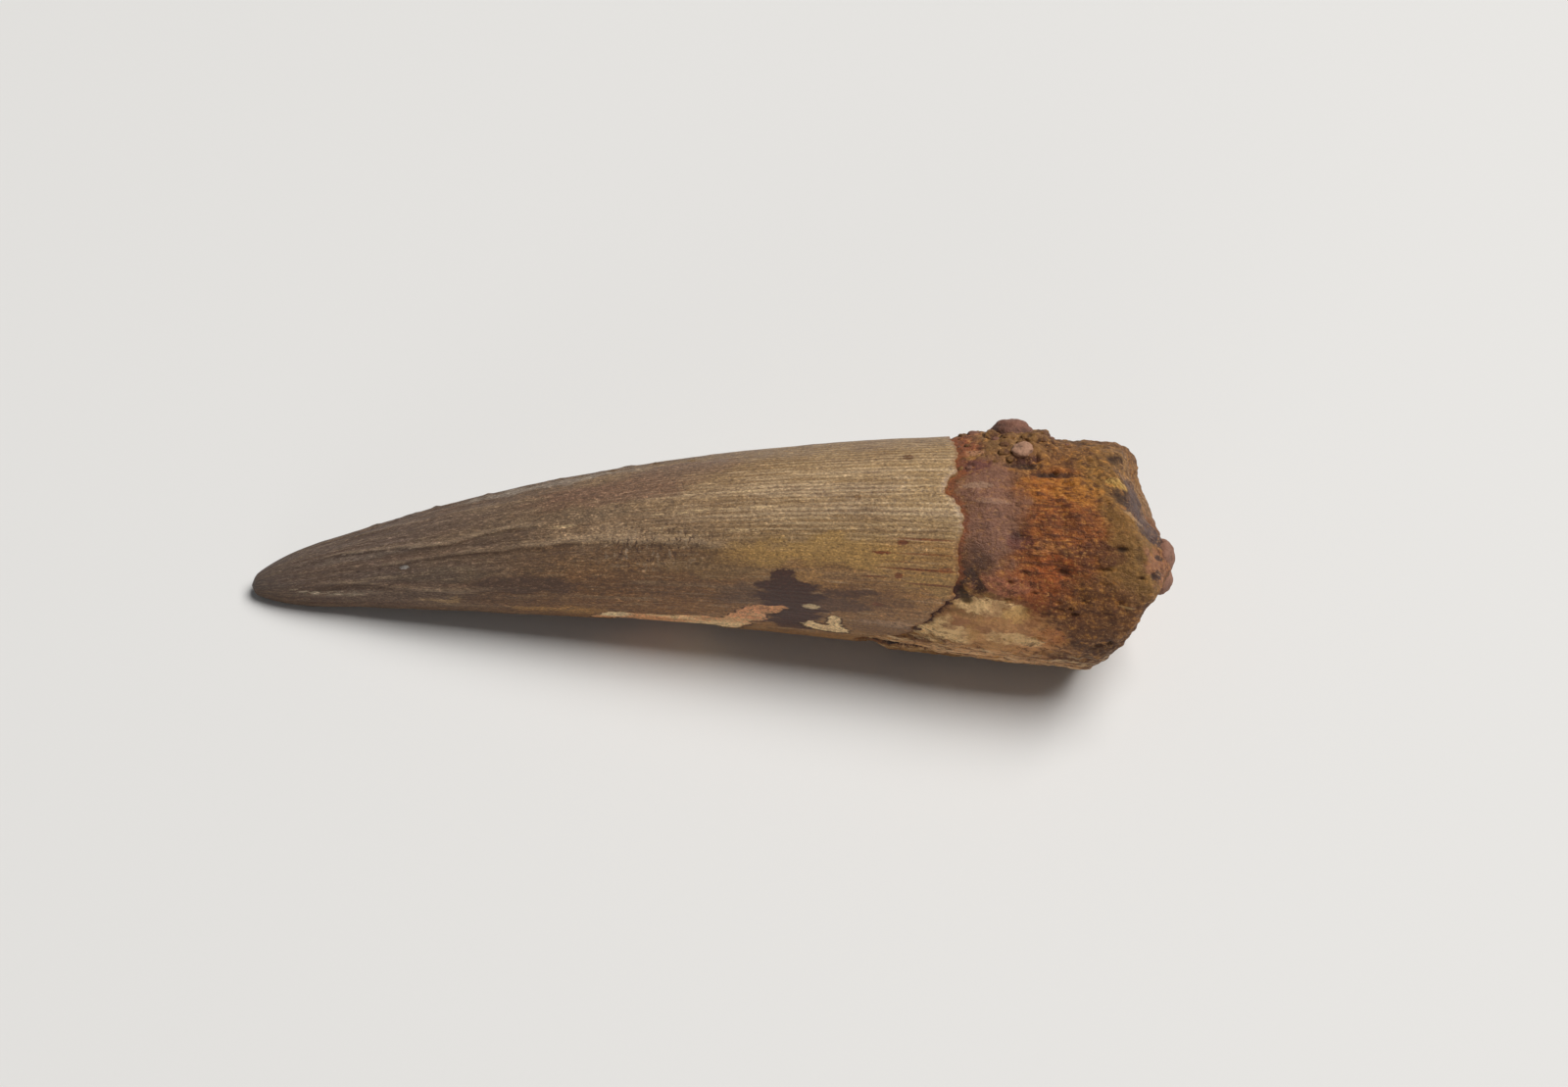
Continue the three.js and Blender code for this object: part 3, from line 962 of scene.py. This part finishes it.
def root_crust(x, angle):
    """Lumps, grains, hollows and splinters on the root."""
    skin = wrapped(x, angle)
    smooth = features(x, angle, [SMOOTH_PLACE])
    sandy = 1 - SMOOTH_SHARE * smooth
    lumps = skin_rough(x, angle, ROOT_LUMPS) + sandy * skin_rough(x, angle, SANDY_LUMPS)
    sand = sandy * np.clip(SANDY_SHARE + skin_rough(x, angle, SANDY_PLACES), 0, 1)
    lumps += ROOT_GRAIN_HEIGHT * grains(skin, ROOT_GRAIN) * sand
    heap = np.abs(skin_rough(x, angle, HEAP_LUMPS)) + np.abs(skin_rough(x, angle, SMALL_HEAP_LUMPS))
    heap += HEAP_GRAIN_HEIGHT * grains(skin, HEAP_GRAIN) - HEAP_SUNK
    lumps += heap * features(x, angle, [HEAP_PLACE])
    twisted = angle + LEAF_TWIST * x
    leaves = np.abs(skin_rough(x, twisted, LEAVES)) + skin_rough(x, twisted, THIN_LEAVES)
    splintered = band(np.degrees(angle), *SPLINTERED_DEGREES) * (1 - smoothstep(x, *SPLINTERED_TO))
    crust = lumps * (1 - SPLINTER_SHARE * splintered) + leaves * splintered - SMOOTH_DEPTH * smooth
    return crust + features(x, angle, HEAP + ROOT_HOLLOWS) + sandy**4 * features(x, angle, PITS)


def root_relief(x, angle, edge, crust):
    """How far the root's skin stands out from the cone. A crevice runs along the enamel's edge."""
    swelling = CRUST * (1 - ((x - CRUST_THICKEST) / CRUST_REACH) ** 2)
    filled = smoothstep(np.cos(angle - FILLED_TURN), *FILLED_EDGE)
    rise = smoothstep(x, edge, edge + CREVICE_WIDTH + (FILLED_CREVICE - CREVICE_WIDTH) * filled)
    sunk = (1 - rise) * ENAMEL_THICKNESS * (1 - FILLING * filled)
    worn = FRONT_WEAR * np.maximum(0, -np.cos(angle)) * smoothstep(x, *FRONT_WEAR_STRETCH)
    return rise * swelling + (CREVICE_CRUST + (1 - CREVICE_CRUST) * rise) * crust - sunk - worn


first_wall_ring = len(UNDER_ENAMEL) + 1
first_break_ring = first_wall_ring + ROOT_WALL_RINGS
all_rings = first_break_ring + BREAK_RINGS
root_form, ring, angle = turned_form(ROOT_COLUMNS, all_rings)
edge = enamel_edge(angle)
rim = break_at(FULL_RADIUS * np.cos(angle), FULL_RADIUS * SIDE_SHARE * np.sin(angle))
share = np.clip((ring - first_wall_ring) / ROOT_WALL_RINGS, 0, 1)
x = edge + (rim - edge) * share
crust = root_crust(x, angle)
rounding = RIM_ROUND + skin_rough(np.zeros_like(angle), angle, RIM_UNEVEN)
rounding *= 1 - RIM_SHARPER * smoothstep(np.cos(angle), *RIM_SHARP_EDGE)
rim_drop = RIM_DROP * np.clip(1 - (rim - x) / np.maximum(RIM_SHARP, rounding), 0, 1) ** 2
radius = radius_at(x) + root_relief(x, angle, edge, crust) - rim_drop
for step, (past_edge, below) in enumerate(UNDER_ENAMEL, start=1):
    under = ring == step
    x[under] = edge[under] + past_edge
    radius[under] = radius_at(x[under]) - below
x[ring == 0] = BEGINS_AT
radius[ring == 0] = 0
inward = np.clip((ring - first_break_ring) / BREAK_RINGS, 0, 1)
radius *= 1 - inward
on_break = inward > 0
back = radius * np.cos(angle)
side = radius * SIDE_SHARE * np.sin(angle)
x[on_break] = break_at(back[on_break], side[on_break])
crust[on_break] = flat_rough(flat_points(back, side)[on_break], BREAK_SKIN)
root = finished_piece(
    "root",
    root_form,
    place(x, back, side),
    {
        "wrap": wrapped(x, angle) * np.stack([np.ones_like(x), 1 - inward, 1 - inward], axis=1),
        "broken": inward,
        "past_edge": x - edge,
        "relief": crust,
    },
)

IRON = (158, 90, 38)
OLIVE_CRUST = (134, 100, 52)
UMBER = (120, 78, 44)
MAUVE = (143, 101, 83)
PINK = (172, 108, 82)
BONE = (255, 218, 164)
CLAY = (158, 98, 68)
ROOT_STAINS = [
    (OLIVE_CRUST, (75.0, 66), (4.6, 46), 1.0),
    (IRON, (69.6, 84), (3.9, 40), 0.9),
    ((172, 98, 52), (68.0, 107), (3.4, 9), 0.9),
    ((148, 78, 38), (68.6, 121), (2.6, 7), 0.85),
    (UMBER, (73.6, 124), (4.6, 20), 0.9),
    ((94, 60, 36), (72.4, 152), (6.0, 16), 0.85),
    ((200, 138, 52), (71.8, 57), (1.9, 7), 0.6),
    ((188, 122, 44), (68.6, 60), (1.4, 8), 0.5),
    ((182, 96, 42), (70.2, 98), (1.7, 8), 0.6),
    ((206, 146, 98), (68.9, 88), (1.0, 4), 0.6),
    ((92, 50, 20), (72.6, 88), (2.6, 7), 0.75),
    ((100, 54, 24), (71.2, 74), (2.2, 4), 0.5),
    ((224, 164, 112), (66.0, 141), (5.0, 16), 0.9),
    (BONE, (64.4, 122.5), (2.9, 4.9), 1.0),
    ((222, 176, 104), (66.6, 125), (1.3, 4.8), 0.7),
    (BONE, (60.8, 144), (2.7, 8), 1.0),
    (BONE, (66.6, 142), (2.4, 4.8), 0.9),
    (CLAY, (62.5, 134), (1.2, 3.4), 0.9),
    (CLAY, (63.9, 138), (1.0, 3.2), 0.8),
    (CLAY, (61.2, 138), (0.6, 2.4), 0.6),
    ((196, 124, 72), (69.6, 138), (1.8, 7), 0.8),
    ((190, 140, 84), (65.4, 150), (2.0, 4.4), 0.6),
    ((240, 190, 144), (62.4, 168), (9.0, 12), 0.8),
    (MAUVE, (64.4, 72), (2.9, 32), 1.0),
    ((158, 88, 56), (62.8, 18), (2.0, 13), 0.9),
    ((196, 146, 116), (63.0, 33), (1.3, 2.0), 0.7),
    ((116, 66, 62), (63.0, 43), (1.7, 5), 0.9),
    ((178, 144, 124), (63.4, 57), (1.3, 2.2), 0.7),
    ((172, 136, 118), (64.6, 66), (1.6, 1.6), 0.5),
    ((118, 82, 70), (64.0, 79), (0.6, 2.2), 0.6),
    ((112, 78, 66), (65.0, 73), (0.5, 1.8), 0.6),
    (PINK, (65.2, 109), (2.8, 5), 0.8),
    ((110, 60, 56), (66.8, 86), (1.2, 5), 0.8),
    ((104, 66, 44), (63.4, 97), (1.9, 8), 0.8),
    ((64, 40, 34), (62.4, 106), (0.7, 6), 0.9),
    ((44, 32, 28), (62.0, 117), (0.9, 3.4), 1.0),
    ((96, 68, 40), (67.2, 20), (3.6, 16), 0.85),
    ((88, 50, 44), (67.5, 39.5), (1.4, 2.4), 0.9),
    ((66, 40, 28), (67.3, 43.5), (1.7, 2.0), 0.9),
    ((78, 46, 26), (70.2, 49), (2.4, 1.8), 0.8),
    ((84, 68, 70), (78.0, 58), (3.4, 9), 0.95),
    ((74, 58, 62), (78.6, 69), (2.2, 7.5), 0.95),
    ((110, 90, 86), (77.8, 41), (3.4, 10), 0.85),
    ((150, 116, 82), (76.4, 25), (2.0, 10), 0.7),
    ((214, 182, 116), (75.0, 51), (0.9, 2.4), 0.8),
    ((190, 160, 128), (76.4, 67), (0.9, 1.6), 0.7),
    (MAUVE, (63.8, 236), (2.4, 12), 0.8),
    (IRON, (70.0, 250), (3.6, 16), 0.7),
    (UMBER, (74.0, -60), (4.2, 18), 0.8),
    ((186, 136, 84), (67.5, -50), (2.4, 9), 0.6),
    ((92, 62, 46), (66.0, -76), (2.6, 9), 0.7),
    ((158, 106, 80), (78.8, 92), (1.3, 14), 0.8),
    ((58, 38, 34), (78.7, 86), (0.5, 2.4), 0.9),
    ((58, 38, 34), (78.2, 97), (0.6, 2.4), 0.9),
    (CREAM, (75.7, 114), (0.5, 0.7), 0.6),
]

ROOT_BUMP = 0.22 * MM

stained = Finish("stained_root")
wrap = stained.attribute("wrap", "Vector")
along, degrees = stained.skin(wrap)
broken = stained.attribute("broken")
past_edge = stained.attribute("past_edge")
raised = stained.attribute("relief")
cloud = stained.grain(wrap, (0.5, 0.5, 0.5), 4, 0.65)
blotch = stained.grain(wrap, (1.2, 2.0, 2.0), 5, 0.72)
mottle = stained.grain(wrap, (0.55, 0.7, 0.7), 5, 0.7)
sand = stained.grain(wrap, (3.4, 4.6, 4.6), 3, 0.72)
layers = stained.grain(wrap, (0.5, 4.5, 4.5), 3, 0.6)
stained.base = stained.mix(cloud.between(0.35, 0.65), colour(118, 78, 42), colour(148, 108, 60))
stained.lay_patches(ROOT_STAINS)
calm = stained.patch((64.4, 72), (2.9, 32), 0.3) * 0.6
pale_bone = stained.patch((64.4, 133), (4.4, 17), 0.3)
lively = 1 - calm - pale_bone * 0.75 - stained.patch((76, 84), (2.6, 24), 0.4) * 0.5
stained.coat(blotch.between(0.5, 0.62) * lively * 0.75, colour(78, 40, 18))
stained.coat(blotch.between(0.47, 0.34) * lively * 0.6, colour(210, 148, 72))
stained.coat(sand.between(0.53, 0.68) * lively * 0.6, colour(66, 38, 20))
stained.coat(sand.between(0.46, 0.32) * (lively + 0.2) * 0.45, colour(220, 168, 106))
stained.coat(mottle.between(0.51, 0.6) * pale_bone * 0.5, colour(*CLAY))
stained.coat(blotch.between(0.52, 0.64) * pale_bone * 0.5, colour(168, 104, 64))
stained.coat(cloud.between(0.46, 0.36) * pale_bone * 0.5, colour(206, 158, 92))
stained.coat(sand.between(0.54, 0.66) * pale_bone * 0.35, colour(120, 74, 50))
drawn_out = stained.patch((70.6, 80), (4.4, 26), 0.3) * 0.7
stained.coat(layers.between(0.5, 0.6) * drawn_out, colour(88, 46, 20))
low_side = degrees.between(148, 160) * degrees.between(215, 200)
low_side = low_side * broken.between(0.06, 0.0)
stained.coat(layers.between(0.52, 0.62) * low_side * 0.6, colour(120, 74, 50))
stained.coat(layers.between(0.47, 0.37) * low_side * 0.7, colour(255, 222, 178))
# Painted shade in the root's hollows and pits, and a painted highlight on its raised crust, following
# its relief.
stained.coat(raised.between(-0.1, -0.4) * 0.75, colour(50, 32, 24))
stained.coat(raised.between(0.15, 0.5) * 0.25, colour(200, 152, 96))
stained.coat(pale_bone * 0.2, colour(232, 188, 136))
# Painted shade: the long slit under the enamel's edge on the lower side is painted dark inside.
slit_painted_shade = stained.patch((57.2, 173), (3.6, 4.2))
stained.coat(slit_painted_shade, colour(56, 36, 30))
warmed = stained.patch((71.5, 72), (5.0, 60))
stained.coat(warmed, colour(255, 246, 222), "MULTIPLY")
redder = degrees.between(74, 56) * degrees.between(10, 24)
seeping = (past_edge + (blotch - 0.5) * 2.4 - redder * 0.35).between(0.65, 0.35)
edge_stain = (sand + mottle).between(0.85, 1.15)
edge_stain = stained.mix(edge_stain, colour(112, 62, 42), colour(158, 92, 52))
stained.coat(seeping * 0.8, edge_stain)
cracked = degrees.between(108, 114) * degrees.between(158, 148)
cracked = (past_edge + (blotch - 0.5) * 2.6).between(0.8, 0.4) * cracked
stained.coat(cracked * 0.9, colour(66, 40, 36))
facing_up = degrees.between(-20, 60) * degrees.between(180, 100)
inner = (broken + (cloud - 0.5) * 0.5 + (blotch - 0.5) * 0.5).between(0.5, 0.62)
face = stained.mix(blotch.between(0.36, 0.64), colour(98, 70, 48), colour(172, 136, 98))
filling = (blotch + sand).between(0.8, 1.2)
filling = stained.mix(filling, colour(92, 54, 34), colour(158, 106, 66))
face = stained.mix(inner, face, filling)
rim_grey = stained.patch((78.6, 52), (4.2, 17), 0.25) * broken.between(0.0, 0.1)
rim_grey = rim_grey * (broken + (blotch - 0.5) * 0.5).between(0.5, 0.35)
stained.coat(rim_grey * 0.75, colour(96, 78, 78))
open_face = (broken + (blotch - 0.5) * 0.6 - facing_up * 0.4).between(0.2, 0.4)
stained.coat(open_face * 0.85, face)
stained.coat(1.0, colour(255, 248, 234), "MULTIPLY")
gloss = 0.7 + (sand - 0.5) * 0.3 - calm * 0.3
bump = blotch * 1.2 + sand * 0.8 + layers * (low_side * 0.8 + drawn_out * 0.5)
stained.done(root, gloss, bump, ROOT_BUMP)
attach(root, "root")
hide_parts("tooth")


# ---- Matrix ----
# Pebbles and sandy crust from the rock the tooth was buried in. They are cemented to the root by
# iron, mostly in one heap on its back edge, with grains round it and two pebbles on the break.

SAND = 0.0
PEBBLE = 1.0
DUSTY = 1.42
PALE = 2.0
ROUGHNESS_OF = {SAND: 0.3, PEBBLE: 0.12, DUSTY: 0.12, PALE: 0.2}

# Lumps: mm from the tip, degrees from the back edge, half sizes along, around and outward, detail,
# kind, and how much of the outward half is sunk. On the break, a share of the full radius places it.
LUMPS = [
    (66.8, 6, (1.9, 2.0, 1.5), 5, PEBBLE, 0.15),
    (69.2, 6, (1.0, 1.1, 0.7), 4, SAND, 0.4),
    (67.4, 34, (1.05, 0.9, 0.55), 4, PALE, 0.35),
    (68.4, 22, (0.9, 1.0, 0.7), 4, SAND, 0.4),
    (65.0, 16, (0.8, 1.1, 0.6), 4, SAND, 0.4),
    (62.8, 3, (0.5, 0.7, 0.4), 4, SAND, 0.5),
    (63.6, 5, (0.6, 0.6, 0.45), 4, PEBBLE, 0.4),
    (64.4, 2, (0.5, 0.6, 0.4), 4, SAND, 0.5),
    (64.6, 340, (1.2, 1.5, 0.7), 4, SAND, 0.4),
    (70.5, 318, (1.5, 1.3, 0.8), 4, SAND, 0.4),
    (66.5, 285, (1.1, 1.4, 0.6), 4, PEBBLE, 0.4),
]
LUMPS_ON_BREAK = [
    (79.2, 80, 0.26, (1.2, 1.7, 2.4), 5, DUSTY),
    (79.2, 118, 0.26, (1.1, 1.3, 1.6), 5, DUSTY),
]
HEAP_GRAINS = 60
HEAP_GRAIN_SIZES = (0.12, 0.5, 0.12)
GRAINS_FROM = 62.2
GRAINS_ALONG = (66.6, 2.4)
GRAINS_AROUND = (10, 15)
GRAIN_SHAPE = (1.2, 1, 0.8)
GRAIN_SUNK = 0.5
GRAIN_DETAIL = 3
LUMP_LAYERS = [(1, 0.9), (0.45, 0.35), (0.2, 0.15)]
OUTWARD_WRAP = (0, 0.7, 0.7)
MATRIX_BUMP = 0.16 * MM

scatter = random.Random(23)
for _ in range(HEAP_GRAINS):
    size = scatter.triangular(*HEAP_GRAIN_SIZES)
    centre = max(GRAINS_FROM, scatter.gauss(*GRAINS_ALONG))
    degrees = scatter.gauss(*GRAINS_AROUND)
    kind = scatter.choice((SAND, SAND, SAND, PEBBLE))
    half = tuple(size * share for share in GRAIN_SHAPE)
    LUMPS.append((centre, degrees, half, GRAIN_DETAIL, kind, GRAIN_SUNK))

matrix_form = bmesh.new()
points, wraps, stones, reliefs = [], [], [], []


def add_lump(centre, degrees, out, half, detail, stone):
    """A rough ball set on the root, with its centre so many mm out from the middle line."""
    made = bmesh.ops.create_icosphere(matrix_form, subdivisions=detail, radius=1)["verts"]
    ball = np.array([v.co for v in made])
    bumps = sum(height * rough(ball, size, centre) for height, size in LUMP_LAYERS)
    ball *= (1 + ROUGHNESS_OF[stone] * bumps)[:, None] * half
    angle = math.radians(degrees)
    outward = math.cos(angle) * BACK + SIDE_SHARE * math.sin(angle) * SIDE
    seat = middle(np.array([centre]))[0] + out * outward
    outward = outward / np.linalg.norm(outward)
    around = np.cross((1, 0, 0), outward)
    points.append(seat + ball[:, :1] * (1, 0, 0) + ball[:, 1:2] * around + ball[:, 2:] * outward)
    skin = wrapped(centre + ball[:, 0], angle + ball[:, 1] / WRAP_RADIUS)
    wraps.append(skin + ball[:, 2:] * OUTWARD_WRAP)
    stones.append(np.full(len(ball), stone))
    reliefs.append(bumps)


for centre, degrees, half, detail, stone, sunk in LUMPS:
    spot = np.array([centre]), np.radians([degrees % 360])
    level = radius_at(spot[0]) + root_relief(*spot, enamel_edge(spot[1]), root_crust(*spot))
    add_lump(centre, degrees, level[0] - sunk * half[2], half, detail, stone)
for centre, degrees, share, half, detail, stone in LUMPS_ON_BREAK:
    add_lump(centre, degrees, share * FULL_RADIUS, half, detail, stone)
points = np.concatenate(points)
points[:, 2] = np.maximum(points[:, 2], 0)
matrix = finished_piece(
    "matrix",
    matrix_form,
    points,
    {
        "wrap": np.concatenate(wraps),
        "stone": np.concatenate(stones),
        "relief": np.concatenate(reliefs),
    },
)

crusted = Finish("matrix")
wrap = crusted.attribute("wrap", "Vector")
stone = crusted.attribute("stone")
raised = crusted.attribute("relief")
blotch = crusted.grain(wrap, (1.1, 1.3, 1.3), 4, 0.65)
sand = crusted.grain(wrap, (4.2, 4.6, 4.6), 3, 0.7)
crusted.base = crusted.mix(blotch.between(0.38, 0.62), colour(98, 60, 32), colour(144, 102, 52))
pebble = crusted.mix(blotch, colour(98, 58, 44), colour(150, 104, 84))
pale = crusted.mix(blotch, colour(146, 104, 82), colour(204, 158, 128))
crusted.coat(stone.between(0.3, 0.7), pebble)
crusted.coat(stone.between(1.3, 1.7), pale)
crusted.coat(sand.between(0.55, 0.75) * 0.5, colour(60, 34, 22))
crusted.coat(sand.between(0.45, 0.28) * 0.3, colour(190, 142, 92))
# Painted shade in the low places between the bumps of the lumps, following their relief.
crusted.coat(raised.between(0.0, -0.6) * 0.6, colour(52, 32, 24))
gloss = 0.72 + (sand - 0.5) * 0.3
bump = blotch * 0.8 + sand
crusted.done(matrix, gloss, bump, MATRIX_BUMP)
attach(matrix, "root")
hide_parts("tooth")
